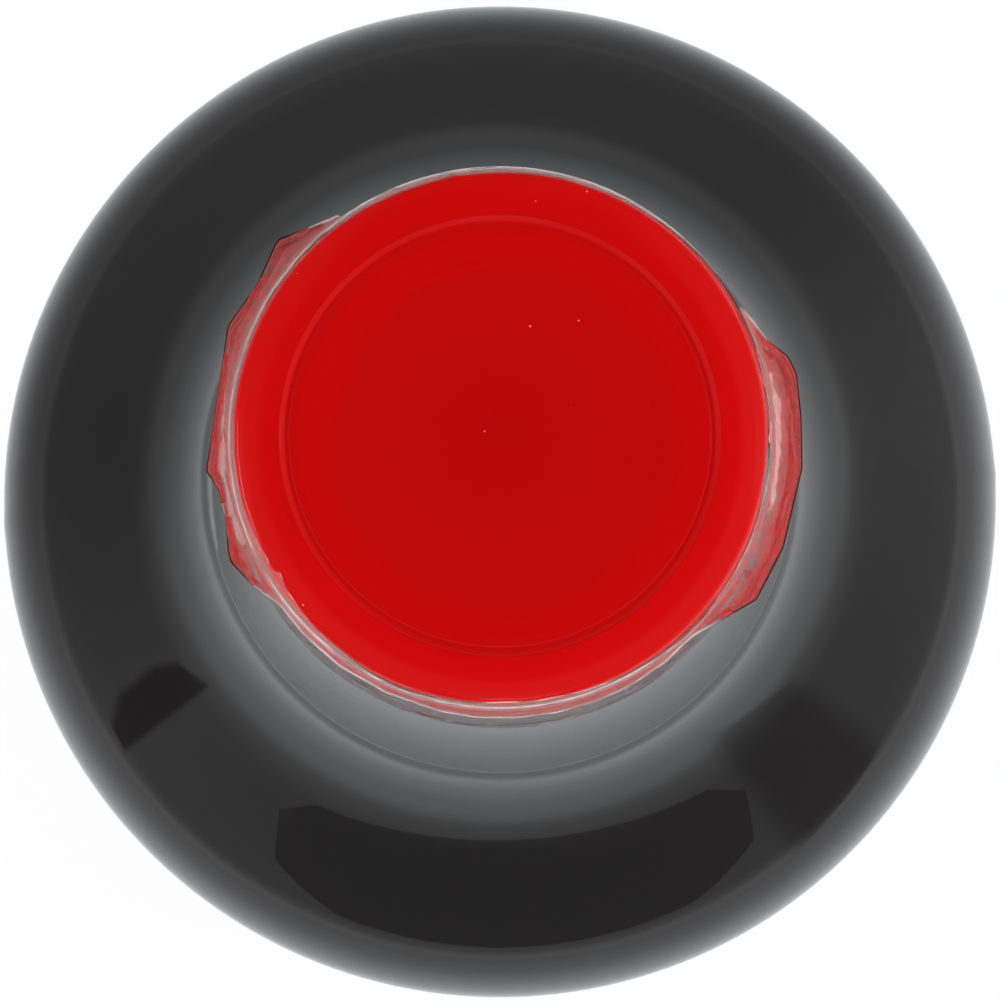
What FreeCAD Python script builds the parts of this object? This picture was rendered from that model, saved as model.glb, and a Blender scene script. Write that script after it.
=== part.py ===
"""A sealed half-litre glass bottle of soy sauce.

Four pieces stand on one axis: the round-shouldered glass bottle, the sauce that fills it to the foot of
the neck, a ribbed plastic screw cap and the clear shrink band that seals the cap to the neck.
Millimetres, +Z up, with the origin at the centre of the base, on the plane that the bottle stands on.
"""

import FreeCAD
import Part

import math
import os

from FreeCAD import Vector

# ---------------------------------------------------------------- glass bottle
BODY_DIAMETER = 70.0
BODY_HEIGHT = 151.0  # standing plane to the start of the shoulder
GLASS_WALL = 2.8
BASE_THICKNESS = 5.5  # glass between the push-up and the inner floor
HEEL_RADIUS = 7.0
BEARING_WIDTH = 2.5  # flat ring that the bottle stands on
PUSH_UP = 4.0  # height of the hollow under the base
INNER_HEEL_RADIUS = 8.0
INNER_RISE = 2.4  # how far the middle of the inner floor is domed up
CONTACT_BAND = 6.0  # full-diameter band above the heel and under the shoulder
PANEL_DEPTH = 0.5  # label panel, set back between the two contact bands
PANEL_BLEND = 3.0  # height over which the panel eases in

SHOULDER_RADIUS = 16.0
SHOULDER_TILT = 50.0  # degrees, slope of the shoulder's straight
NECK_SWEEP = 42.0  # hollow radius that carries the shoulder up into the neck
NECK_DIAMETER = 30.4
COLLAR_GAP = 0.6  # plain neck between the end of the sweep and the collar
COLLAR_DEPTH = 0.6  # how far the transfer collar stands out of the neck
COLLAR_HEIGHT = 2.2
FINISH_DIAMETER = 27.8
FINISH_HEIGHT = 21.3  # top of the collar to the brim
FINISH_SETBACK = 1.2  # height of the cone between collar and finish
FINISH_WALL = 3.1  # from the finish to the bore
BRIM_RADIUS = 0.8
BORE_TAPER = 5.0  # height over which the neck's inside narrows to the bore

# ---------------------------------------------------------------- sauce
FILL_BELOW_BRIM = 46.0

# ---------------------------------------------------------------- screw cap
THREAD_SPACE = 1.05  # from the finish out to the inside of the cap
CAP_FOOT_GAP = 0.45  # from the collar up to the cap's foot
CAP_DRAFT = 0.65  # gain in radius down the skirt
CAP_WALL = 1.3
CAP_PANEL = 1.4  # thickness over the brim, at the recessed middle
PANEL_RECESS = 0.35  # the middle sits this far below the rim's crest
DISC_DIAMETER = 20.4  # recessed middle
DISC_STEP = 0.12  # from the middle up to the ring round it
GROOVE_DIAMETER = 25.9  # fine, shallow groove at the foot of the rim
GROOVE_WIDTH = 0.44
GROOVE_DEPTH = 0.08
STEP_RUN = 0.25  # run of the small slopes in the top
RIM_START_TILT = 8.0  # degrees, slope of the rim at its crest
RIM_END_TILT = 28.0  # degrees, where the edge round takes over
EDGE_RADIUS = 0.8
RIB_COUNT = 80
RIB_GROOVE_RADIUS = 0.45
RIB_GROOVE_DEPTH = 0.28
RIB_TOP_MARGIN = 2.2  # plain skirt above the grooves
RIB_FOOT_MARGIN = 2.6  # plain skirt below them

# ---------------------------------------------------------------- shrink band
FILM_THICKNESS = 0.15
FILM_CLEARANCE = 0.14  # between the film and what it is shrunk on
FILM_LIP_TILT = 20.0  # degrees, where the cut edge lies on the rim's slope
FILM_TAIL = 6.0  # film below the foot of the cap
LOOSE_HEAD = 0.6  # film held tight under the rim, above the loose sides
LOOSE_RISE = 2.2  # height over which a loose side steps out
LOOSE_FALL = 16.0  # height over which it draws in again
LOOSE_FOOT = 1.0  # film held tight at the foot of the cap
OUTLINE_SPACING = 5  # whole degrees between the points of a level curve

# The flattened tube's two creases shrink less than the rest and stand off in facets. Each corner is a
# direction in degrees and how far it stands off, and the film runs straight from one to the next.
RIGHT_CORNERS = (
    (-48.2, 0.0), (-39.4, 0.95), (-35.0, 1.6), (-24.0, 1.65), (-8.5, 1.65),
    (1.2, 1.55), (9.3, 1.65), (13.0, 1.4), (16.7, 0.6), (25.3, 0.0),
)
LEFT_CORNERS = (
    (122.8, 0.0), (135.4, 1.35), (144.5, 0.7), (154.6, 1.1), (183.4, 1.15), (187.2, 0.6),
    (193.0, 0.55), (200.0, 1.1), (201.8, 1.2), (207.5, 0.7), (214.4, 0.0),
)

# ---------------------------------------------------------------- worked out
UPRIGHT = math.pi / 2
body_radius = BODY_DIAMETER / 2
neck_radius = NECK_DIAMETER / 2
finish_radius = FINISH_DIAMETER / 2
bore_radius = finish_radius - FINISH_WALL
shoulder_tilt = math.radians(SHOULDER_TILT)

shoulder_centre = (body_radius - SHOULDER_RADIUS, BODY_HEIGHT)
slope_run = shoulder_centre[0] + SHOULDER_RADIUS * math.sin(shoulder_tilt)
slope_run -= neck_radius + NECK_SWEEP * (1 - math.sin(shoulder_tilt))
sweep_top = BODY_HEIGHT + slope_run * math.tan(shoulder_tilt)
sweep_top += (SHOULDER_RADIUS + NECK_SWEEP) * math.cos(shoulder_tilt)
sweep_centre = (neck_radius + NECK_SWEEP, sweep_top)

collar_foot = sweep_top + COLLAR_GAP
collar_top = collar_foot + COLLAR_HEIGHT
brim = collar_top + FINISH_HEIGHT
fill_level = brim - FILL_BELOW_BRIM

cap_top = brim + CAP_PANEL + PANEL_RECESS
cap_foot = collar_top + CAP_FOOT_GAP
cap_radius = finish_radius + THREAD_SPACE + CAP_WALL
rim_start = math.radians(RIM_START_TILT)
rim_end = math.radians(RIM_END_TILT)
groove_edge = GROOVE_WIDTH / 2
groove_radius = (groove_edge**2 + GROOVE_DEPTH**2) / (2 * GROOVE_DEPTH)
rim_inner = GROOVE_DIAMETER / 2 + groove_edge + STEP_RUN
edge_inner = cap_radius - EDGE_RADIUS + EDGE_RADIUS * math.sin(rim_end)
rim_radius = (edge_inner - rim_inner) / (math.sin(rim_end) - math.sin(rim_start))
rim_centre = (rim_inner - rim_radius * math.sin(rim_start), cap_top - rim_radius * math.cos(rim_start))
edge_centre = (
    cap_radius - EDGE_RADIUS,
    rim_centre[1] + (rim_radius - EDGE_RADIUS) * math.cos(rim_end),
)
skirt_top = edge_centre[1]


def at(r, z):
    """A point of a half section, in the plane through the axis."""
    return Vector(r, 0, z)


def line(start, end):
    return Part.LineSegment(at(*start), at(*end)).toShape()


def path(*points):
    """Straight lines from each point to the next."""
    return [line(start, end) for start, end in zip(points, points[1:])]


def turned(centre, radius, tilt):
    """The point of a round whose outward normal leans away from the axis by a tilt.

    A negative radius is a hollow, round a centre outside the glass.
    """
    return (centre[0] + radius * math.sin(tilt), centre[1] + radius * math.cos(tilt))


def arc(centre, radius, first, last):
    """A round between two tilts of its normal."""
    ends_and_middle = [turned(centre, radius, tilt) for tilt in (first, (first + last) / 2, last)]
    return Part.Arc(*(at(*point) for point in ends_and_middle)).toShape()


def eased(start, end):
    """Two equal arcs that ease an upright wall from one radius to another."""
    step = end[0] - start[0]
    rise = end[1] - start[1]
    radius = (step**2 + rise**2) / (4 * abs(step))
    quarter = math.atan(abs(step) / rise)
    sag = math.copysign(radius * (1 - math.cos(quarter)), step)
    climb = radius * math.sin(quarter)
    middle = at((start[0] + end[0]) / 2, (start[1] + end[1]) / 2)
    low = at(start[0] + sag, start[1] + climb)
    high = at(end[0] - sag, end[1] - climb)
    return [Part.Arc(at(*start), low, middle).toShape(), Part.Arc(middle, high, at(*end)).toShape()]


def spun(edges):
    """The solid that a closed half section sweeps round the axis."""
    face = Part.Face(Part.Wire(Part.__sortEdges__(edges)))
    return face.revolve(Vector(0, 0, 0), Vector(0, 0, 1), 360)


def dome(rim, rise):
    """An arc from the axis down to a rim, and the height of its crown."""
    radius = (rim[0] ** 2 + rise**2) / (2 * rise)
    centre = (0, rim[1] + rise - radius)
    return arc(centre, radius, 0, math.asin(rim[0] / radius)), rim[1] + rise


def shoulder(inset):
    """The wall from the start of the shoulder to the end of the sweep, inset into the glass."""
    round_in = SHOULDER_RADIUS - inset
    sweep = -(NECK_SWEEP + inset)
    return [
        arc(shoulder_centre, round_in, UPRIGHT, shoulder_tilt),
        line(turned(shoulder_centre, round_in, shoulder_tilt), turned(sweep_centre, sweep, shoulder_tilt)),
        arc(sweep_centre, sweep, shoulder_tilt, UPRIGHT),
    ]


def base():
    """The push-up, the bearing ring and the heel."""
    heel_foot = body_radius - HEEL_RADIUS
    push_up_rim = (heel_foot - BEARING_WIDTH, 0)
    hollow, crown = dome(push_up_rim, PUSH_UP)
    heel = arc((heel_foot, HEEL_RADIUS), HEEL_RADIUS, math.pi, UPRIGHT)
    return [hollow, line(push_up_rim, (heel_foot, 0)), heel], crown


def wall():
    """The upright wall, with the label panel set back between its contact bands."""
    panel_radius = body_radius - PANEL_DEPTH
    panel_foot = HEEL_RADIUS + CONTACT_BAND
    panel_top = BODY_HEIGHT - CONTACT_BAND
    low = (panel_radius, panel_foot + PANEL_BLEND)
    high = (panel_radius, panel_top - PANEL_BLEND)
    lower_band = line((body_radius, HEEL_RADIUS), (body_radius, panel_foot))
    upper_band = line((body_radius, panel_top), (body_radius, BODY_HEIGHT))
    ease_in = eased((body_radius, panel_foot), low)
    ease_out = eased(high, (body_radius, panel_top))
    return [lower_band] + ease_in + [line(low, high)] + ease_out + [upper_band]


def finish():
    """The transfer collar, the plain finish under the cap and the outside of the brim."""
    bulge = at(neck_radius + COLLAR_DEPTH, (collar_foot + collar_top) / 2)
    collar = Part.Arc(at(neck_radius, collar_foot), bulge, at(neck_radius, collar_top)).toShape()
    brim_centre = (finish_radius - BRIM_RADIUS, brim - BRIM_RADIUS)
    plain = path(
        (neck_radius, collar_top),
        (finish_radius, collar_top + FINISH_SETBACK),
        (finish_radius, brim_centre[1]),
    )
    brim_round = arc(brim_centre, BRIM_RADIUS, UPRIGHT, 0)
    return [line((neck_radius, sweep_top), (neck_radius, collar_foot)), collar] + plain + [brim_round]


def inside():
    """The hollow of the bottle, run on above the brim so that it cuts the mouth clear."""
    inner_radius = body_radius - GLASS_WALL
    floor_rim = (inner_radius - INNER_HEEL_RADIUS, PUSH_UP + BASE_THICKNESS - INNER_RISE)
    heel_top = floor_rim[1] + INNER_HEEL_RADIUS
    floor, crown = dome(floor_rim, INNER_RISE)
    heel = arc((floor_rim[0], heel_top), INNER_HEEL_RADIUS, math.pi, UPRIGHT)
    upright = line((inner_radius, heel_top), (inner_radius, BODY_HEIGHT))
    mouth = (bore_radius + BRIM_RADIUS, brim - BRIM_RADIUS)
    bore = path(
        (neck_radius - GLASS_WALL, sweep_top),
        (bore_radius, sweep_top + BORE_TAPER),
        (bore_radius, mouth[1]),
    )
    brim_round = arc(mouth, BRIM_RADIUS, -UPRIGHT, 0)
    above = brim + BRIM_RADIUS
    lid = path((mouth[0], brim), (mouth[0], above), (0, above), (0, crown))
    return spun([floor, heel, upright] + shoulder(GLASS_WALL) + bore + [brim_round] + lid)


def make_bottle():
    foot, crown = base()
    lid = path((finish_radius - BRIM_RADIUS, brim), (0, brim), (0, crown))
    return spun(foot + wall() + shoulder(0) + finish() + lid).cut(inside())


def make_sauce():
    up_to_level = Part.makeCylinder(BODY_DIAMETER, fill_level)
    return inside().common(up_to_level)


def skirt_radius(z):
    """The cap's outer radius at a height on its drafted skirt."""
    return cap_radius + CAP_DRAFT * (skirt_top - z) / (skirt_top - cap_foot)


def cap_body():
    """The cap before its ribs: recessed top, sloping rim, drafted skirt and hollow inside."""
    middle = cap_top - PANEL_RECESS
    ring = middle + DISC_STEP
    disc = DISC_DIAMETER / 2
    groove = GROOVE_DIAMETER / 2
    top = path((0, middle), (disc, middle), (disc + STEP_RUN, ring), (groove - groove_edge, ring))
    groove_tilt = math.asin(groove_edge / groove_radius)
    groove_centre = (groove, ring - GROOVE_DEPTH + groove_radius)
    top.append(arc(groove_centre, -groove_radius, groove_tilt, -groove_tilt))
    top.append(line((groove + groove_edge, ring), (rim_inner, cap_top)))
    rim = arc(rim_centre, rim_radius, rim_start, rim_end)
    edge = arc(edge_centre, EDGE_RADIUS, rim_end, UPRIGHT)
    foot = skirt_radius(cap_foot)
    skirt = path(
        (cap_radius, skirt_top),
        (foot, cap_foot),
        (foot - CAP_WALL, cap_foot),
        (cap_radius - CAP_WALL, brim),
        (0, brim),
        (0, middle),
    )
    return spun(top + [rim, edge] + skirt)


def make_cap():
    """The cap with a ring of upright grip grooves that follow the skirt's draft."""
    top = skirt_top - RIB_TOP_MARGIN
    foot = cap_foot + RIB_FOOT_MARGIN
    stand_off = RIB_GROOVE_RADIUS - RIB_GROOVE_DEPTH
    start = at(skirt_radius(foot) + stand_off, foot)
    along = at(skirt_radius(top) + stand_off, top) - start
    groove = Part.makeCylinder(RIB_GROOVE_RADIUS, along.Length, start, along)
    turn = 360 / RIB_COUNT
    grooves = [groove.rotated(Vector(0, 0, 0), Vector(0, 0, 1), turn * i) for i in range(RIB_COUNT)]
    return cap_body().cut(grooves)


def swell(z):
    """How far a loose side stands off at a height, from 0 where the film is tight to 1."""
    head = skirt_top - LOOSE_HEAD
    foot = cap_foot + LOOSE_FOOT
    rise = min(max((head - z) / LOOSE_RISE, 0), 1)
    fall = min(max((z - foot) / LOOSE_FALL, 0), 1)
    return math.sin(rise * UPRIGHT) ** 2 * math.sin(fall * UPRIGHT)


def facet_radius(direction):
    """Distance of the loose film from the axis in a direction, or nothing where it is tight."""
    tight = skirt_radius((skirt_top + cap_foot) / 2) + FILM_CLEARANCE
    for corners in (RIGHT_CORNERS, LEFT_CORNERS):
        for (first, near), (last, far) in zip(corners, corners[1:]):
            if first <= direction <= last:
                span = math.radians(last - first)
                before = math.radians(direction - first)
                from_first = (tight + near) * math.sin(before)
                from_last = (tight + far) * math.sin(span - before)
                # where the ray meets the straight line between the two corners
                return (tight + near) * (tight + far) * math.sin(span) / (from_first + from_last)
    return 0


def tilts(first, last, steps):
    """Equal steps of tilt, without the first."""
    return [first + (last - first) * i / steps for i in range(1, steps + 1)]


def capped_stations(gap):
    """The tight film over the cap, from its cut edge to the cap's foot: radius and height."""
    lip = math.radians(FILM_LIP_TILT)
    stations = [turned(rim_centre, rim_radius + gap, lip)]
    stations += [turned(rim_centre, rim_radius + gap, tilt) for tilt in tilts(lip, rim_end, 3)]
    stations += [turned(edge_centre, EDGE_RADIUS + gap, tilt) for tilt in tilts(rim_end, UPRIGHT, 6)]
    levels = 24
    for i in range(1, levels + 1):
        # closer together at the top, where the loose sides step out
        z = skirt_top + (cap_foot - skirt_top) * (i / levels) ** 1.5
        stations.append((skirt_radius(z) + gap, z))
    return stations


def tail_stations(gap):
    """The tail drawn in under the cap's foot, over the collar and down the neck."""
    below_sweep = max(sweep_top - cap_foot + FILM_TAIL, 0)
    neck = neck_radius + NECK_SWEEP - math.sqrt(NECK_SWEEP**2 - below_sweep**2) + gap
    collar = neck_radius + COLLAR_DEPTH + gap
    foot = skirt_radius(cap_foot) + gap
    levels = 10
    stations = []
    for i in range(1, levels + 1):
        share = i / levels
        hang = math.cos(min(share * 2, 1) * UPRIGHT) ** 2
        hug = math.sin(max(share * 2 - 1, 0) * UPRIGHT) ** 2
        radius = collar + (foot - collar) * hang + (neck - collar) * hug
        stations.append((radius, cap_foot - FILM_TAIL * share))
    return stations


def film_outline(radius, z, thickness):
    """A level curve of the film in two halves, with its loose sides standing off."""
    halves = []
    for first, along in ((-90, Vector(1, 0, 0)), (90, Vector(-1, 0, 0))):
        points = []
        for direction in range(first, first + 181, OUTLINE_SPACING):
            stand_off = max(facet_radius(direction) + thickness - radius, 0)
            reach = radius + stand_off * swell(z)
            angle = math.radians(direction)
            points.append(Vector(reach * math.cos(angle), reach * math.sin(angle), z))
        half = Part.BSplineCurve()
        steps = list(range(len(points)))
        half.interpolate(Points=points, Parameters=steps, InitialTangent=along, FinalTangent=along * -1)
        halves.append(half.toShape())
    return Part.Wire(halves)


def film_level_curves(thickness):
    """The level curves of one skin: 0 for the inner skin, or the film's thickness."""
    gap = FILM_CLEARANCE + thickness
    stations = capped_stations(gap) + tail_stations(gap)
    return [film_outline(radius, z, thickness) for radius, z in stations]


def make_band():
    """The film as a thin shell: two skins, joined by the cut edges at the lip and the tail."""
    inner = film_level_curves(0)
    outer = film_level_curves(FILM_THICKNESS)
    skins = [Part.makeLoft(inner, False), Part.makeLoft(outer, False)]
    cut_edges = [Part.makeRuledSurface(inner[end], outer[end]) for end in (0, -1)]
    shell = Part.Shell([face for part in skins + cut_edges for face in part.Faces])
    shell.sewShape()
    return Part.Solid(shell)


NODES = {
    "bottle": make_bottle,
    "soy_sauce": make_sauce,
    "screw_cap": make_cap,
    "shrink_band": make_band,
}

os.makedirs("parts", exist_ok=True)
for name, make in NODES.items():
    shape = make()
    shape = shape.Solids[0]
    shape.exportStep(f"parts/{name}.step")
    print(name, "valid" if shape.isValid() else "INVALID", round(shape.Volume / 1000, 2), "ml")
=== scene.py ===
"""Sealed glass bottle of soy sauce: the looks of its glass, sauce, cap and shrink band."""

import math

import bmesh
import bpy
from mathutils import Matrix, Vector, noise


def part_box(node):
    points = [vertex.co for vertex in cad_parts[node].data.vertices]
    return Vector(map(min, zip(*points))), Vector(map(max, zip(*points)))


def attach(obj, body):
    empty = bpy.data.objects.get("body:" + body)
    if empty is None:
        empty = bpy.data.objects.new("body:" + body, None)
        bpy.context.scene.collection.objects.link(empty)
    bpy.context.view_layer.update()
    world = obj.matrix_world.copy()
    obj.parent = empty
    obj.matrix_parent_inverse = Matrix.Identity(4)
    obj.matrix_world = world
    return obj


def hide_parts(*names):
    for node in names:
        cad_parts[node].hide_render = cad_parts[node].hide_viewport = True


bl_info = {
    "name": "Sauce Bottle",
    "version": (1, 0, 0),
    "blender": (4, 5, 0),
    "location": "View3D > Sidebar > Bottle",
    "description": "Builds a sealed sauce bottle round its construction frame",
    "category": "Add Mesh",
}

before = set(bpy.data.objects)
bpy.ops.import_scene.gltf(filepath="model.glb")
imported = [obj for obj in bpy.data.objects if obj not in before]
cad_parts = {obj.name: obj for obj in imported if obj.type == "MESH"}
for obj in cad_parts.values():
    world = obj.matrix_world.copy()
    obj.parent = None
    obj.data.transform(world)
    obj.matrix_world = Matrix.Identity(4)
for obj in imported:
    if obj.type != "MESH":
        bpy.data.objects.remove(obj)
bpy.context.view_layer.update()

MM = 0.001
UPRIGHT = math.pi / 2
TURN = 2 * math.pi

bottle_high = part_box("bottle")[1]
cap_low, cap_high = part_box("screw_cap")

BODY_RADIUS = bottle_high.x
BRIM = bottle_high.z
FILL_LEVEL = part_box("soy_sauce")[1].z
CAP_FOOT = cap_low.z
CAP_TOP = cap_high.z
CAP_FOOT_RADIUS = cap_high.x
BAND_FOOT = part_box("shrink_band")[0].z


# ---------------------------------------------------------------- settings
def length(name, millimetres, description):
    return bpy.props.FloatProperty(
        name=name, description=description, default=millimetres * MM, unit="LENGTH", precision=5
    )


def angle(name, degrees, description):
    return bpy.props.FloatProperty(
        name=name, description=description, default=math.radians(degrees), subtype="ANGLE"
    )


def count(name, default, description):
    return bpy.props.IntProperty(name=name, description=description, default=default, min=3)


def share(name, default, description):
    return bpy.props.FloatProperty(name=name, description=description, default=default, min=0, max=10)


def colour(name, default, description):
    return bpy.props.FloatVectorProperty(
        name=name, description=description, default=default, subtype="COLOR", size=3, min=0, max=1
    )


class BottleSettings(bpy.types.PropertyGroup):
    """Shape and finish of the glass and of the sauce in it"""

    wall: length("Wall", 2.8, "Thickness of the glass")
    base: length("Base", 5.5, "Glass between the push-up and the inner floor")
    heel: length("Heel", 7.0, "Radius of the heel")
    bearing: length("Bearing ring", 2.5, "Width of the flat ring that the bottle stands on")
    push_up: length("Push-up", 4.0, "Height of the hollow under the base")
    inner_heel: length("Inner heel", 8.0, "Radius of the heel inside")
    inner_rise: length("Inner rise", 2.4, "How far the inner floor is domed up")
    contact_band: length("Contact band", 6.0, "Full-width band above the heel and under the shoulder")
    panel: length("Panel", 0.5, "How far the label panel is set back")
    panel_blend: length("Panel blend", 3.0, "Height over which the panel eases in")
    body_height: length("Body height", 151.0, "Base to the start of the shoulder")
    shoulder: length("Shoulder", 16.0, "Radius of the shoulder's round")
    tilt: angle("Shoulder slope", 50.0, "Slope of the shoulder's straight")
    sweep: length("Neck sweep", 42.0, "Hollow radius that carries the shoulder into the neck")
    neck: length("Neck", 15.2, "Radius of the neck")
    collar_gap: length("Collar gap", 0.6, "Plain neck under the collar")
    collar: length("Collar", 0.6, "How far the collar stands out")
    collar_height: length("Collar height", 2.2, "Height of the collar")
    setback: length("Setback", 1.2, "Height of the cone above the collar")
    finish: length("Finish", 13.9, "Radius of the finish under the cap")
    bore: length("Bore", 10.8, "Radius of the mouth")
    bore_taper: length("Bore taper", 5.0, "Height over which the neck narrows to the bore")
    brim_round: length("Brim round", 0.8, "Radius of the brim's edges")
    seam: length("Mould seam", 0.05, "How far the mould's parting lines stand out")
    into_wall: length("Sauce into wall", 0.12, "How far the sauce reaches into the glass")
    meniscus: length("Meniscus", 1.4, "Scale of the curve that the sauce draws up the glass")
    segments: count("Segments", 192, "Steps round the axis")
    glass: colour("Glass", (0.93, 0.965, 0.95), "Tint of the glass")
    sauce: colour("Sauce", (0.0035, 0.0012, 0.0006), "Colour of the sauce in bulk")
    painted_glow: colour("Painted glow", (0.17, 0.172, 0.18), "Colour of the sauce right under its level")
    shallow: length("Shallow", 8.0, "Depth over which it darkens")


class CapSettings(bpy.types.PropertyGroup):
    """Shape and finish of the screw cap"""

    wall: length("Wall", 1.3, "Thickness of the skirt")
    draft: length("Draft", 0.65, "Gain in radius down the skirt")
    recess: length("Recess", 0.35, "Depth of the top's middle below its rim")
    disc: length("Disc", 10.2, "Radius of the recessed middle")
    disc_step: length("Disc step", 0.12, "Height from the middle up to the ring round it")
    disc_run: length("Disc run", 0.9, "Run of the easy slope up to that ring")
    groove: length("Groove", 12.95, "Radius of the fine groove at the rim's foot")
    groove_width: length("Groove width", 0.44, "Width of that groove")
    groove_depth: length("Groove depth", 0.08, "Depth of that groove")
    step_run: length("Step run", 0.25, "Run of the small slopes in the top")
    rim_start: angle("Rim start", 8.0, "Slope of the rim at its crest")
    rim_end: angle("Rim end", 28.0, "Slope where the edge round takes over")
    edge: length("Edge", 0.8, "Radius of the edge round")
    ribs: count("Ribs", 80, "Grip grooves round the skirt")
    rib_depth: length("Rib depth", 0.28, "Depth of the grip grooves")
    rib_top: length("Rib top margin", 2.2, "Plain skirt above the grooves")
    rib_foot: length("Rib foot margin", 2.6, "Plain skirt below the grooves")
    red: colour("Red", (0.565, 0.0, 0.0), "Colour of the plastic")


class BandSettings(bpy.types.PropertyGroup):
    """Shape and finish of the shrink band"""

    gap: length("Gap", 0.18, "Between the film and the cap")
    thickness: length("Thickness", 0.09, "Thickness of the film")
    lip: angle("Lip", 20.0, "Slope of the rim where the film's cut edge lies")
    head: length("Tight head", 0.1, "Film held tight under the rim")
    crease: length("Crease", 0.5, "Height of the leaning strip above a loose side's step")
    lean: share("Lean", 0.2, "Share of the stand-off that the strip takes up")
    step: length("Step", 0.3, "Height over which a loose side steps out below the strip")
    fall: length("Fall", 16.0, "Height over which it draws in again")
    foot: length("Tight foot", 1.0, "Film held tight at the foot of the cap")
    corner_base: length("Corner base", 0.29, "From the skirt to where the corners' stand-off begins")
    crinkle: length("Crinkle", 0.08, "Depth of the film's fine crinkles")
    segments: count("Segments", 432, "Steps round the axis")
    film: colour("Film", (0.96, 0.91, 0.88), "Tint of the film")


class StudioSettings(bpy.types.PropertyGroup):
    """Camera, floor and light"""

    aim: length("Aim", 152.0, "Height that the camera looks at")
    camera_height: length("Camera height", 490.0, "Camera above that height")
    camera_front: length("Camera front", 27.5, "Camera towards the front of the axis")
    camera_left: length("Camera left", 1.4, "Camera towards the left of the axis")
    frame_width: length("Frame width", 70.5, "Width of the view at that height")
    floor_side: length("Floor side", 900.0, "Floor from the axis to its sides and back")
    floor_front: length("Floor front", 720.0, "Floor from the axis to its front edge")
    fill: share("Fill", 0.62, "Even light from all round")
    left_lamp: share("Left lamp", 2.8, "Power of the left lamp in watts")
    right_lamp: share("Right lamp", 3.8, "Power of the right lamp in watts")
    front_lamp: share("Front lamp", 1.4, "Power of the front lamp in watts")


# ---------------------------------------------------------------- outlines
def turned(centre, radius, tilt):
    """The point of a round whose outward normal leans away from the axis by a tilt.

    A negative radius is a hollow, round a centre outside it.
    """
    return (centre[0] + radius * math.sin(tilt), centre[1] + radius * math.cos(tilt))


def arc(centre, radius, first, last, steps):
    """Points of a round between two tilts of its normal, without the first."""
    return [turned(centre, radius, first + (last - first) * i / steps) for i in range(1, steps + 1)]


def run(start, end, steps):
    """Equal steps along a straight, without its start."""
    return [
        (start[0] + (end[0] - start[0]) * i / steps, start[1] + (end[1] - start[1]) * i / steps)
        for i in range(1, steps + 1)
    ]


def eased(start, end, steps):
    """Points of a wall that eases from one radius to another, without the start."""
    points = []
    for i in range(1, steps + 1):
        climb = i / steps
        swing = climb * climb * (3 - 2 * climb)
        points.append((start[0] + (end[0] - start[0]) * swing, start[1] + (end[1] - start[1]) * climb))
    return points


def eased_over(start, end, steps):
    """Points of a floor that eases from one height to another, without the start."""
    return [(r, z) for z, r in eased(start[::-1], end[::-1], steps)]


def dome(rim, rise, steps):
    """Points of a dome from the axis down to its rim."""
    radius = (rim[0] ** 2 + rise**2) / (2 * rise)
    centre = (0, rim[1] + rise - radius)
    return [(0, rim[1] + rise)] + arc(centre, radius, 0, math.asin(rim[0] / radius), steps)


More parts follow.
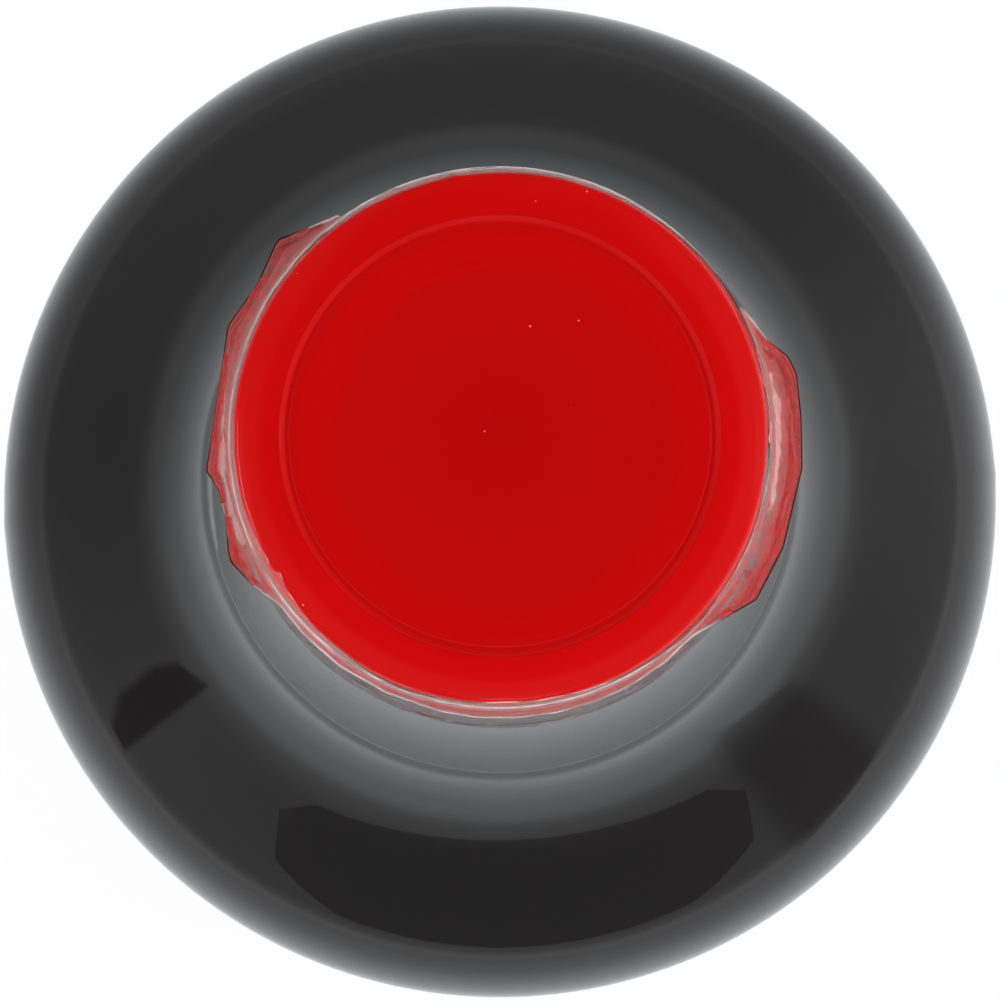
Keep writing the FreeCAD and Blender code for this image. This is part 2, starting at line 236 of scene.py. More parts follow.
class Glass:
    """Places on the bottle's section, worked out from its settings."""

    def __init__(self, s):
        self.s = s
        self.shoulder_centre = (BODY_RADIUS - s.shoulder, s.body_height)
        slope = self.shoulder_centre[0] + s.shoulder * math.sin(s.tilt)
        slope -= s.neck + s.sweep * (1 - math.sin(s.tilt))
        top = s.body_height + slope * math.tan(s.tilt) + (s.shoulder + s.sweep) * math.cos(s.tilt)
        self.sweep_centre = (s.neck + s.sweep, top)
        self.sweep_top = top
        self.collar_foot = top + s.collar_gap
        self.collar_top = self.collar_foot + s.collar_height

    def shoulder(self, inset):
        """From the start of the shoulder to the end of the sweep, inset into the glass."""
        s = self.s
        round_in, sweep = s.shoulder - inset, -(s.sweep + inset)
        slope_end = turned(self.sweep_centre, sweep, s.tilt)
        points = arc(self.shoulder_centre, round_in, UPRIGHT, s.tilt, 16)
        points += run(points[-1], slope_end, 4)
        return points + arc(self.sweep_centre, sweep, s.tilt, UPRIGHT, 18)

    def outside(self):
        s = self.s
        heel_foot = BODY_RADIUS - s.heel
        panel = BODY_RADIUS - s.panel
        low, high = s.heel + s.contact_band, s.body_height - s.contact_band
        points = dome((heel_foot - s.bearing, 0), s.push_up, 14)
        points += run(points[-1], (heel_foot, 0), 3)
        points += arc((heel_foot, s.heel), s.heel, math.pi, UPRIGHT, 10)
        points += run(points[-1], (BODY_RADIUS, low), 3)
        points += eased(points[-1], (panel, low + s.panel_blend), 6)
        points += run(points[-1], (panel, high - s.panel_blend), 10)
        points += eased(points[-1], (BODY_RADIUS, high), 6)
        points += run(points[-1], (BODY_RADIUS, s.body_height), 3)
        points += self.shoulder(0)
        points += run(points[-1], (s.neck, self.collar_foot), 1)
        points += self.collar()
        points += run(points[-1], (s.finish, self.collar_top + s.setback), 2)
        points += run(points[-1], (s.finish, BRIM - s.brim_round), 6)
        return points + arc((s.finish - s.brim_round, BRIM - s.brim_round), s.brim_round, UPRIGHT, 0, 5)

    def collar(self):
        s = self.s
        middle = (self.collar_foot + self.collar_top) / 2
        steps = 8
        points = []
        for i in range(1, steps + 1):
            z = self.collar_foot + s.collar_height * i / steps
            off = (z - middle) / (s.collar_height / 2)
            points.append((s.neck + s.collar * math.sqrt(max(1 - off * off, 0)), z))
        return points

    def inner_floor(self, inset):
        """From the axis over the inner floor and heel, up to the wall."""
        s = self.s
        inner = BODY_RADIUS - s.wall
        rim = (inner - s.inner_heel, s.push_up + s.base - s.inner_rise)
        points = dome(rim, s.inner_rise, 12)
        points += arc((rim[0], rim[1] + s.inner_heel), s.inner_heel, math.pi, UPRIGHT, 10)
        return [(r + inset * min(r / rim[0], 1), z - inset) for r, z in points[:13]] + [
            (r + inset, z) for r, z in points[13:]
        ]

    def inner_wall(self, inset):
        """From the inner heel up to the end of the sweep."""
        s = self.s
        inner = BODY_RADIUS - s.wall + inset
        heel_top = s.push_up + s.base - s.inner_rise + s.inner_heel
        return run((inner, heel_top), (inner, s.body_height), 14) + self.shoulder(s.wall - inset)

    def mouth(self):
        """From the end of the sweep up the bore and round the brim."""
        s = self.s
        start = (s.neck - s.wall, self.sweep_top)
        points = eased(start, (s.bore, self.sweep_top + s.bore_taper), 6)
        points += run(points[-1], (s.bore, BRIM - s.brim_round), 6)
        return points + arc((s.bore + s.brim_round, BRIM - s.brim_round), s.brim_round, -UPRIGHT, 0, 5)


class Cap:
    """Places on the cap's section, worked out from its settings."""

    def __init__(self, s):
        self.s = s
        self.radius = CAP_FOOT_RADIUS - s.draft
        edge = s.groove_width / 2
        self.groove_radius = (edge**2 + s.groove_depth**2) / (2 * s.groove_depth)
        self.groove_tilt = math.asin(edge / self.groove_radius)
        self.rim_inner = s.groove + edge + s.step_run
        edge_inner = self.radius - s.edge + s.edge * math.sin(s.rim_end)
        self.rim_radius = (edge_inner - self.rim_inner) / (math.sin(s.rim_end) - math.sin(s.rim_start))
        self.rim_centre = (
            self.rim_inner - self.rim_radius * math.sin(s.rim_start),
            CAP_TOP - self.rim_radius * math.cos(s.rim_start),
        )
        self.edge_centre = (
            self.radius - s.edge,
            self.rim_centre[1] + (self.rim_radius - s.edge) * math.cos(s.rim_end),
        )
        self.skirt_top = self.edge_centre[1]

    def skirt(self, z):
        """The skirt's radius at a height."""
        return self.radius + self.s.draft * (self.skirt_top - z) / (self.skirt_top - CAP_FOOT)

    def section(self):
        s = self.s
        middle = CAP_TOP - s.recess
        ring = middle + s.disc_step
        points = [(0, middle)] + run((0, middle), (s.disc - s.disc_run / 2, middle), 6)
        points += eased_over(points[-1], (s.disc + s.disc_run / 2, ring), 8)
        points += run(points[-1], (s.groove - s.groove_width / 2, ring), 3)
        groove_centre = (s.groove, ring - s.groove_depth + self.groove_radius)
        points += arc(groove_centre, -self.groove_radius, self.groove_tilt, -self.groove_tilt, 8)
        points += eased(points[-1], (self.rim_inner, CAP_TOP), 4)
        points += arc(self.rim_centre, self.rim_radius, s.rim_start, s.rim_end, 10)
        points += arc(self.edge_centre, s.edge, s.rim_end, UPRIGHT, 8)
        rib_top, rib_foot = self.skirt_top - s.rib_top, CAP_FOOT + s.rib_foot
        foot, fillet = CAP_FOOT_RADIUS, s.rib_depth
        heights = (
            (rib_top, 3), (rib_top - s.rib_depth, 2), (rib_foot + s.rib_depth, 10), (rib_foot, 2),
            (CAP_FOOT + fillet, 2),
        )
        for z, steps in heights:
            points += run(points[-1], (self.skirt(z), z), steps)
        points += arc((foot - fillet, CAP_FOOT + fillet), fillet, UPRIGHT, math.pi, 4)
        points += run(points[-1], (foot - s.wall, CAP_FOOT), 2)
        points += run(points[-1], (self.radius - s.wall, BRIM), 6)
        return points + run(points[-1], (0, BRIM), 4)


# ---------------------------------------------------------------- modelling
def deselect():
    """Leaves edit mode with nothing selected."""
    if bpy.context.object and bpy.context.object.mode != "OBJECT":
        bpy.ops.object.mode_set(mode="OBJECT")
    bpy.ops.object.select_all(action="DESELECT")


def pick(piece):
    """Makes a piece the only one selected, and the active one."""
    deselect()
    piece.select_set(True)
    bpy.context.view_layer.objects.active = piece


def spun(name, section, segments):
    """A piece swept round the axis from a section of (radius, height) points."""
    deselect()
    bpy.ops.mesh.primitive_plane_add(size=MM)
    piece = bpy.context.object
    piece.name = name
    piece.data.name = name
    bpy.ops.object.mode_set(mode="EDIT")
    bpy.ops.mesh.merge(type="CENTER")
    start = Vector((section[0][0], 0, section[0][1]))
    bpy.ops.transform.translate(value=start)
    for (r0, z0), (r1, z1) in zip(section, section[1:]):
        bpy.ops.mesh.extrude_region_move(TRANSFORM_OT_translate={"value": (r1 - r0, 0, z1 - z0)})
    bpy.ops.mesh.select_all(action="SELECT")
    bpy.ops.mesh.remove_doubles(threshold=MM / 1000)
    bpy.ops.mesh.spin(steps=segments, angle=TURN, center=(0, 0, 0), axis=(0, 0, 1))
    bpy.ops.mesh.select_all(action="SELECT")
    bpy.ops.mesh.remove_doubles(threshold=MM / 200)
    bpy.ops.mesh.normals_make_consistent(inside=False)
    bpy.ops.object.mode_set(mode="OBJECT")
    bpy.ops.object.origin_set(type="ORIGIN_CURSOR")
    return piece


def round_off(piece, degrees=40):
    """Smooth shading up to an angle between faces."""
    pick(piece)
    bpy.ops.object.shade_smooth_by_angle(angle=math.radians(degrees))


def edit(piece, kind):
    """Opens a piece in edit mode with nothing selected, to select one kind of part."""
    pick(piece)
    bpy.ops.object.mode_set(mode="EDIT")
    bpy.ops.mesh.select_mode(type=kind)
    bpy.ops.mesh.select_all(action="DESELECT")


def thicken(piece, thickness):
    """Gives a single skin its thickness, outwards."""
    pick(piece)
    solid = piece.modifiers.new("thickness", "SOLIDIFY")
    solid.thickness = thickness
    solid.offset = 1
    solid.use_quality_normals = True
    bpy.ops.object.modifier_apply(modifier=solid.name)


def scale_where(piece, chosen, factor):
    """Scales the chosen points about the axis, in edit mode."""
    edit(piece, "VERT")
    mesh = bmesh.from_edit_mesh(piece.data)
    for v in mesh.verts:
        v.select = chosen(v.co)
    mesh.select_flush_mode()
    bmesh.update_edit_mesh(piece.data)
    bpy.ops.transform.resize(value=(factor, factor, 1), center_override=(0, 0, 0))
    bpy.ops.object.mode_set(mode="OBJECT")


def column(co, segments):
    """Which step round the axis a point stands on."""
    return round(math.atan2(co.y, co.x) / TURN * segments) % segments


def finish_piece(piece, material, slot, *nodes):
    """Gives a piece its material, hides the solids that it stands for, and attaches it to what carries it."""
    piece.data.materials.clear()
    piece.data.materials.append(material)
    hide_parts(*nodes)
    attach(piece, "root")


# ---------------------------------------------------------------- materials
def new_material(name):
    """An empty material and its tree of nodes."""
    material = bpy.data.materials.new(name)
    material.use_nodes = True
    tree = material.node_tree
    tree.nodes.clear()
    return material, tree


def feed(tree, socket, value):
    """Links an input to another node's output, or sets it to a plain value."""
    if isinstance(value, bpy.types.NodeSocket):
        tree.links.new(value, socket)
    else:
        socket.default_value = value


def node(tree, kind, **values):
    """A node with its properties and numbered inputs set."""
    made = tree.nodes.new(kind)
    for key, value in values.items():
        if key.startswith("in_"):
            feed(tree, made.inputs[int(key[3:])], value)
        else:
            setattr(made, key, value)
    return made


def fill_ramp(ramp, stops):
    """Sets a colour ramp to (position, colour) stops."""
    elements = ramp.color_ramp.elements
    while len(elements) < len(stops):
        elements.new(0.5)
    for element, (position, tint) in zip(elements, stops):
        element.position = position
        element.color = (*tint, 1)


def principled(tree, **sockets):
    """A Principled shader with inputs set by name."""
    shader = tree.nodes.new("ShaderNodeBsdfPrincipled")
    for key, value in sockets.items():
        feed(tree, shader.inputs[key.replace("_", " ").title().replace("Ior", "IOR")], value)
    return shader


def smooth(tree, value, low, high):
    """0 before low and 1 after high, with an easy change between them."""
    limits = {"in_0": value, "in_1": low, "in_2": high}
    return node(tree, "ShaderNodeMapRange", interpolation_type="SMOOTHSTEP", **limits).outputs[0]


def maths(tree, operation, *values):
    """A Math node fed with sockets or plain numbers."""
    made = node(tree, "ShaderNodeMath", operation=operation)
    for socket, value in zip(made.inputs, values):
        feed(tree, socket, value)
    return made.outputs[0]


def window(tree, value, low, high, soft):
    """1 between two values, 0 outside them."""
    rise = smooth(tree, value, low - soft, low + soft)
    fall = smooth(tree, value, high + soft, high - soft)
    return maths(tree, "MULTIPLY", rise, fall)


def levels(tree, value, stops):
    """A grey ramp between (position, level) stops."""
    ramp = node(tree, "ShaderNodeValToRGB", in_0=value)
    fill_ramp(ramp, [(position, (level, level, level)) for position, level in stops])
    return ramp.outputs["Color"]


def mixed(tree, share_socket, first, second):
    """The first shader where a share is 0 and the second where it is 1."""
    shaders = {"in_1": first.outputs[0], "in_2": second.outputs[0]}
    return node(tree, "ShaderNodeMixShader", in_0=share_socket, **shaders)


def placed(tree, space="Object"):
    """The place that is shaded, whole and split into x, y and z."""
    place = node(tree, "ShaderNodeTexCoord").outputs[space]
    return place, node(tree, "ShaderNodeSeparateXYZ", in_0=place).outputs


def lets_light_through(tree, shader, tint):
    """Rays from lamps pass the glass as if it were clear, so that what is behind it is lit."""
    clear = node(tree, "ShaderNodeBsdfTransparent", in_0=(*tint, 1))
    path = node(tree, "ShaderNodeLightPath")
    return mixed(tree, path.outputs["Is Shadow Ray"], shader, clear)


def output(tree, shader):
    out = node(tree, "ShaderNodeOutputMaterial")
    tree.links.new(shader.outputs[0], out.inputs["Surface"])


def unevenness_group():
    """Soft unevenness of a moulded surface: a height at one scale."""
    group = bpy.data.node_groups.new("Moulded unevenness", "ShaderNodeTree")
    group.interface.new_socket(name="Scale", in_out="INPUT", socket_type="NodeSocketFloat")
    group.interface.new_socket(name="Height", in_out="OUTPUT", socket_type="NodeSocketFloat")
    inside = group.nodes.new("NodeGroupInput")
    outside = group.nodes.new("NodeGroupOutput")
    place = node(group, "ShaderNodeTexCoord").outputs["Object"]
    clouds = node(group, "ShaderNodeTexNoise", in_0=place, in_2=inside.outputs["Scale"], in_3=2)
    group.links.new(clouds.outputs["Fac"], outside.inputs["Height"])
    return group


def shared(name, make):
    """A node group that several materials use, made the first time it is asked for."""
    return bpy.data.node_groups.get(name) or make()


def make_uneven(tree, shader, scale, strength, distance):
    """Gives a shader a bump from the shared unevenness."""
    group = shared("Moulded unevenness", unevenness_group)
    uneven = node(tree, "ShaderNodeGroup", node_tree=group, in_0=scale)
    bump = node(tree, "ShaderNodeBump", in_0=strength, in_1=distance)
    tree.links.new(uneven.outputs["Height"], bump.inputs["Height"])
    tree.links.new(bump.outputs[0], shader.inputs["Normal"])


def glass_material(s):
    material, tree = new_material("clear glass")
    shader = principled(
        tree, base_color=(*s.glass, 1), roughness=0.01, ior=1.5, transmission_weight=1.0
    )
    make_uneven(tree, shader, 28, 0.04, 0.0002)
    output(tree, lets_light_through(tree, shader, s.glass))
    return material


def sauce_materials(s):
    """The sauce behind the glass, which has no gloss of its own, and its free surface."""
    behind, tree = new_material("sauce behind glass")
    height = placed(tree)[1][2]
    depth = node(tree, "ShaderNodeMapRange", in_0=height, in_1=FILL_LEVEL, in_2=FILL_LEVEL - s.shallow)
    ramp = node(tree, "ShaderNodeValToRGB", in_0=depth.outputs[0])
    # painted light: the sauce is painted pale grey just under its level, brightest about a millimetre down,
    # for a glow of light there; over the shallow depth it darkens to the sauce's own colour
    stops = ((0, 0.3), (0.05, 0.35), (0.12, 1.0), (0.25, 0.58), (0.45, 0.28), (0.7, 0.06), (1, 0.0))
    tints = [[a + (b - a) * glow_share for a, b in zip(s.sauce, s.painted_glow)] for _, glow_share in stops]
    fill_ramp(ramp, [(position, tint) for (position, _), tint in zip(stops, tints)])
    output(tree, principled(tree, base_color=ramp.outputs["Color"], roughness=1.0, specular_ior_level=0.0))
    surface, tree = new_material("sauce surface")
    output(tree, principled(tree, base_color=(*s.sauce, 1), roughness=0.03, ior=1.36))
    return behind, surface


def dust_group():
    """Rare specks of dust: a mask that is 1 on a speck."""
    group = bpy.data.node_groups.new("Dust specks", "ShaderNodeTree")
    for name, value in (("Scale", 500.0), ("Size", 0.035), ("Share", 0.8)):
        socket = group.interface.new_socket(name=name, in_out="INPUT", socket_type="NodeSocketFloat")
        socket.default_value = value
    group.interface.new_socket(name="Mask", in_out="OUTPUT", socket_type="NodeSocketFloat")
    inside = group.nodes.new("NodeGroupInput")
    outside = group.nodes.new("NodeGroupOutput")
    place = node(group, "ShaderNodeTexCoord").outputs["Object"]
    cells = node(group, "ShaderNodeTexVoronoi", in_0=place, in_2=inside.outputs["Scale"])
    near = maths(group, "LESS_THAN", cells.outputs["Distance"], inside.outputs["Size"])
    tone = node(group, "ShaderNodeSeparateColor", in_0=cells.outputs["Color"])
    rare = maths(group, "LESS_THAN", tone.outputs[0], inside.outputs["Share"])
    group.links.new(maths(group, "MULTIPLY", near, rare), outside.inputs["Mask"])
    return group


def dusted(tree, colour_socket, dust):
    """A colour with specks of dust on it."""
    mask = node(tree, "ShaderNodeGroup", node_tree=shared("Dust specks", dust_group)).outputs["Mask"]
    mix = node(tree, "ShaderNodeMix", data_type="RGBA", in_0=mask, in_6=colour_socket, in_7=dust)
    return mix.outputs[2]


DUST = (0.8, 0.22, 0.2, 1)  # dust lets much of the red show


def cap_material(s):
    """Red plastic, painted lighter from the middle out to its rim and skirt, with faint rings on the top:
    painted light where those slopes and steps face the side lamps.
    """
    material, tree = new_material("red plastic")
    place = node(tree, "ShaderNodeTexCoord").outputs["Object"]
    flat = node(tree, "ShaderNodeVectorMath", operation="MULTIPLY", in_0=place, in_1=(1, 1, 0))
    away = node(tree, "ShaderNodeVectorMath", operation="LENGTH", in_0=flat.outputs[0])
    outwards = maths(tree, "DIVIDE", away.outputs["Value"], CAP_FOOT_RADIUS)
    clouds = node(tree, "ShaderNodeTexNoise", in_0=place, in_2=130)
    # the clouds shift the stops by up to 0.06 either way
    cloudy = maths(tree, "MULTIPLY_ADD", clouds.outputs["Fac"], 0.12, -0.06)
    ramp = node(tree, "ShaderNodeValToRGB", in_0=maths(tree, "ADD", outwards, cloudy))
    # painted light: the red gains out to the rim and skirt, in soft steps at the top's rings, for light
    # falling on slopes that face the side lamps
    stops = (
        (0, 0.9), (0.12, 0.97), (0.45, 1.0), (0.51, 1.04), (0.57, 1.0),
        (0.62, 1.06), (0.75, 1.1), (0.79, 1.12), (0.82, 1.2), (0.95, 1.26),
    )
    fill_ramp(ramp, [(position, [c * gain for c in s.red]) for position, gain in stops])
    red = dusted(tree, ramp.outputs["Color"], DUST)
    shader = principled(tree, base_color=red, roughness=0.16, ior=1.5, specular_ior_level=0.3)
    make_uneven(tree, shader, 220, 0.12, 0.0001)
    output(tree, shader)
    return material


# The film where it is smooth and where it is drawn: name, roughness, transmission and strength of its bump.
SMOOTH_FILM = ("clear film", 0.05, 1.0, 0.5)
DRAWN_FILM = ("drawn film", 0.12, 0.95, 0.8)


def film_material(s, name, roughness, transmission, strength):
    """The film in one of its two finishes."""
    material, tree = new_material(name)
    shader = principled(
        tree, base_color=(*s.film, 1), roughness=roughness, ior=1.4, transmission_weight=transmission
    )
    make_uneven(tree, shader, 380, strength, 0.0003)
    output(tree, lets_light_through(tree, shader, s.film))
    return material


# ---------------------------------------------------------------- pieces
class BOTTLE_OT_glass(bpy.types.Operator):
    """Add the glass bottle with its mould seams"""

    bl_idname = "bottle.glass"
    bl_label = "Glass Bottle"

    def execute(self, context):
        s = context.scene.bottle_settings
        glass = Glass(s)
        outside = glass.outside()
        inside = glass.inner_floor(0) + glass.inner_wall(0) + glass.mouth()
        piece = spun("glass_bottle", outside + list(reversed(inside)), s.segments)
        seams = (0, s.segments // 2)
        low, high = s.heel + s.contact_band + s.panel_blend, glass.sweep_top

        def on_seam(co):
            room = math.hypot(co.x, co.y) + s.seam < BODY_RADIUS
            in_reach = room and low < co.z < high
            return column(co, s.segments) in seams and in_reach and self.outer_side(co, glass)

        scale_where(piece, on_seam, 1 + s.seam / BODY_RADIUS)
        round_off(piece)
        finish_piece(piece, glass_material(s), "clear_glass", "bottle")
        return {"FINISHED"}

    @staticmethod
    def outer_side(co, glass):
        """True on the outer skin of the wall and shoulder."""
        s = glass.s
        radius = math.hypot(co.x, co.y)
        if co.z <= s.body_height:
            return radius > BODY_RADIUS - s.wall / 2
        out_round = math.hypot(radius - glass.shoulder_centre[0], co.z - glass.shoulder_centre[1])
        slope_foot = s.body_height + s.shoulder * math.cos(s.tilt)
        if co.z <= slope_foot:
            return out_round > s.shoulder - s.wall / 2
        into_sweep = math.hypot(glass.sweep_centre[0] - radius, glass.sweep_centre[1] - co.z)
        return into_sweep < s.sweep + s.wall / 2


class BOTTLE_OT_sauce(bpy.types.Operator):
    """Add the sauce, up to its level, with the meniscus at the glass"""

    bl_idname = "bottle.sauce"
    bl_label = "Soy Sauce"
    curve_steps = 8
    reach, climb, curl = 1.6, 0.5, 2.5  # width, height and sharpness of the meniscus's curve

    def execute(self, context):
        s = context.scene.bottle_settings
        glass = Glass(s)
        wall = [p for p in glass.inner_wall(s.into_wall) if p[1] < FILL_LEVEL]
        edge = self.wall_at(glass, FILL_LEVEL)
        section = glass.inner_floor(s.into_wall) + wall + [(edge, FILL_LEVEL)]
        for i in range(1, self.curve_steps + 1):
            away = i / self.curve_steps
            dip = s.meniscus * (1 - (1 - away) ** self.curl) * self.climb
            section.append((edge - s.meniscus * self.reach * away, FILL_LEVEL - dip))
        level = section[-1][1]
        section += run(section[-1], (0, level), 6)
        piece = spun("soy_sauce_fill", section, s.segments)
        round_off(piece)
        behind, surface = sauce_materials(s)
        finish_piece(piece, behind, "dark_sauce", "soy_sauce")
        piece.data.materials.append(surface)
        free = edge - s.into_wall * 2
        for face in piece.data.polygons:
            centre = face.center
            if face.normal.z > 0.3 and centre.z > level - MM and math.hypot(centre.x, centre.y) < free:
                face.material_index = 1
        return {"FINISHED"}

    @staticmethod
    def wall_at(glass, z):
        """Radius of the sauce's side at a height on the sweep."""
        sweep = glass.s.sweep + glass.s.wall - glass.s.into_wall
        return glass.sweep_centre[0] - math.sqrt(sweep**2 - (glass.sweep_centre[1] - z) ** 2)


class BOTTLE_OT_cap(bpy.types.Operator):
    """Add the ribbed screw cap"""

    bl_idname = "bottle.cap"
    bl_label = "Screw Cap"

    def execute(self, context):
        s = context.scene.cap_settings
        cap = Cap(s)
        per_rib = 4
        segments = s.ribs * per_rib
        piece = spun("red_cap", cap.section(), segments)
        top, foot = cap.skirt_top - s.rib_top, CAP_FOOT + s.rib_foot
        slack = s.rib_depth / 4

        def in_groove(co):
            outer = math.hypot(co.x, co.y) > cap.radius - s.wall / 2
            ribbed = foot + slack < co.z < top - slack
            return outer and ribbed and column(co, segments) % per_rib == 0

        scale_where(piece, in_groove, 1 - s.rib_depth / cap.radius)
        round_off(piece, 50)
        finish_piece(piece, cap_material(s), "red_plastic", "screw_cap")
        return {"FINISHED"}


# Each corner of the loose film: direction in degrees and how far it stands off, in millimetres.
RIGHT_CORNERS = (
    (-48.2, 0.0), (-39.4, 0.95), (-35.0, 1.6), (-24.0, 1.65), (-8.5, 1.65),
    (1.2, 1.55), (9.3, 1.65), (13.0, 1.4), (16.7, 0.6), (25.3, 0.0),
)
LEFT_CORNERS = (
    (122.8, 0.0), (135.4, 1.35), (144.5, 0.7), (154.6, 1.1), (183.4, 1.15), (187.2, 0.6),
    (193.0, 0.55), (200.0, 1.1), (201.8, 1.2), (207.5, 0.7), (214.4, 0.0),
)
FRONT_CORNERS = (
    (214.4, 0.0), (222.0, 0.08), (232.0, 0.12), (243.0, 0.14), (254.0, 0.19), (262.0, 0.22), (270.0, 0.22),
)
FRONT_RIGHT_CORNERS = (
    (-90.0, 0.22), (-82.0, 0.22), (-74.0, 0.24), (-66.0, 0.21), (-57.0, 0.12), (-48.2, 0.0),
)
LOOSE_RUNS = (RIGHT_CORNERS, LEFT_CORNERS, FRONT_CORNERS, FRONT_RIGHT_CORNERS)
# Where the cut edge lies round the rim: direction in degrees and the rim's slope there.
CUT_EDGE = (
    (-95, 41), (-80, 46), (-66, 58), (-54, 72), (-46, 88), (26, 88), (40, 68), (55, 52), (64, 45), (71, 41),
    (80, 39), (89, 36), (96, 38), (97.5, 45), (99, 38), (105, 33), (112, 38), (122, 44), (130, 57), (150, 56),
    (165, 50), (180, 42), (190, 40), (199, 34), (203, 30), (205, 27.5), (206.5, 34), (209, 27), (213, 27.5),
    (216, 29), (220, 36), (224, 41.5), (231, 42.5), (238, 60), (246, 66), (254, 53), (265, 44), (270, 41),
)
# Pinholes in the loose side's step: direction in degrees and radius in millimetres.
PINHOLES = ((-31.6, 16.96), (-32.2, 17.4), (-32.9, 18.05), (15.6, 16.95), (14.2, 17.2))


def between(stops, place):
    """The value at a place, on straight runs between (place, value) stops."""
    for (first, start), (last, end) in zip(stops, stops[1:]):
        if first <= place <= last:
            return start + (end - start) * (place - first) / (last - first)
    return stops[0][1]


class Film:
    """Places on the shrink band, worked out from its settings and the cap's."""

    lip_rows = 12
    skirt_rows = 56
    tail_rows = 20
    rows = lip_rows + skirt_rows + tail_rows + 1
    crowding = 1.5  # packs the skirt's rows under the rim
    ragged_scale, ragged_slope = 9, 4  # unevenness of the cut edge round the rim, and its depth in degrees
    crinkles_round, crinkle_height = 6, 1.6  # fineness round the axis, and height in millimetres
    smooth_head = 2 * MM  # height under the rim over which the crinkles set in

    def __init__(self, s, cap, glass):
        self.s = s
        self.cap = cap
        self.glass = glass
        self.tight = cap.skirt((cap.skirt_top + CAP_FOOT) / 2) + s.corner_base - s.thickness

    def on_rim(self, tilt):
        """The film over the rim or its edge round, where the surface has a slope."""
        cap = self.cap
        if tilt < cap.s.rim_end:
            return turned(cap.rim_centre, cap.rim_radius + self.s.gap, tilt)
        return turned(cap.edge_centre, cap.s.edge + self.s.gap, tilt)

    def row(self, index, cut):
        """Radius and height of the tight film at a row, counted from its cut edge."""
        s, cap, glass = self.s, self.cap, self.glass
        if index <= self.lip_rows:
            return self.on_rim(cut + (UPRIGHT - cut) * index / self.lip_rows)
        index -= self.lip_rows
        if index <= self.skirt_rows:
            z = cap.skirt_top + (CAP_FOOT - cap.skirt_top) * (index / self.skirt_rows) ** self.crowding
            return (cap.skirt(z) + s.gap, z)
        share = (index - self.skirt_rows) / self.tail_rows
        below = max(glass.sweep_top - BAND_FOOT, 0)
        neck = glass.s.neck + glass.s.sweep - math.sqrt(glass.s.sweep**2 - below**2) + s.gap
        collar = glass.s.neck + glass.s.collar + s.gap
        hang = math.cos(min(share * 2, 1) * UPRIGHT) ** 2
        hug = math.sin(max(share * 2 - 1, 0) * UPRIGHT) ** 2
        radius = collar + (CAP_FOOT_RADIUS + s.gap - collar) * hang + (neck - collar) * hug
        return (radius, CAP_FOOT + (BAND_FOOT - CAP_FOOT) * share)

    def swell(self, z, head):
        """How far a loose side stands off at a height, from 0 to 1."""
        foot = CAP_FOOT + self.s.foot
        lean = min(max((head - z) / self.s.crease, 0), 1) * self.s.lean
        out = min(max((head - self.s.crease - z) / self.s.step, 0), 1)
        fall = min(max((z - foot) / self.s.fall, 0), 1)
        return (lean + (1 - self.s.lean) * out) * math.sin(fall * UPRIGHT)

    def facet(self, direction):
        """Distance of the loose film from the axis, or 0 where it is tight."""
        for corners in LOOSE_RUNS:
            for (first, near), (last, far) in zip(corners, corners[1:]):
                if first <= direction <= last:
                    span = math.radians(last - first)
                    before = math.radians(direction - first)
                    start, end = self.tight + near * MM, self.tight + far * MM
                    meet = start * math.sin(before) + end * math.sin(span - before)
                    return start * end * math.sin(span) / meet
        return 0

    def place(self, index, direction):
        """A point of the finished film."""
        s, cap = self.s, self.cap
        facet = self.facet(direction)
        turn = math.radians(direction)
        round_rim = Vector((math.cos(turn), math.sin(turn), 0)) * self.ragged_scale
        ragged = noise.noise(round_rim) * self.ragged_slope
        cut = math.radians(between(CUT_EDGE, direction) + ragged)
        radius, z = self.row(index, max(cut, cap.s.rim_start))
        fine = self.crinkles_round
        rough = Vector((math.cos(turn) * fine, math.sin(turn) * fine, z / MM / self.crinkle_height))
        below_head = min(max((cap.skirt_top - z) / self.smooth_head, 0), 1)
        radius += s.crinkle * (0.5 + noise.noise(rough)) * below_head
        if facet > radius:
            radius += (facet - radius) * self.swell(z, cap.skirt_top - s.head)
        return Vector((radius * math.cos(turn), radius * math.sin(turn), z))


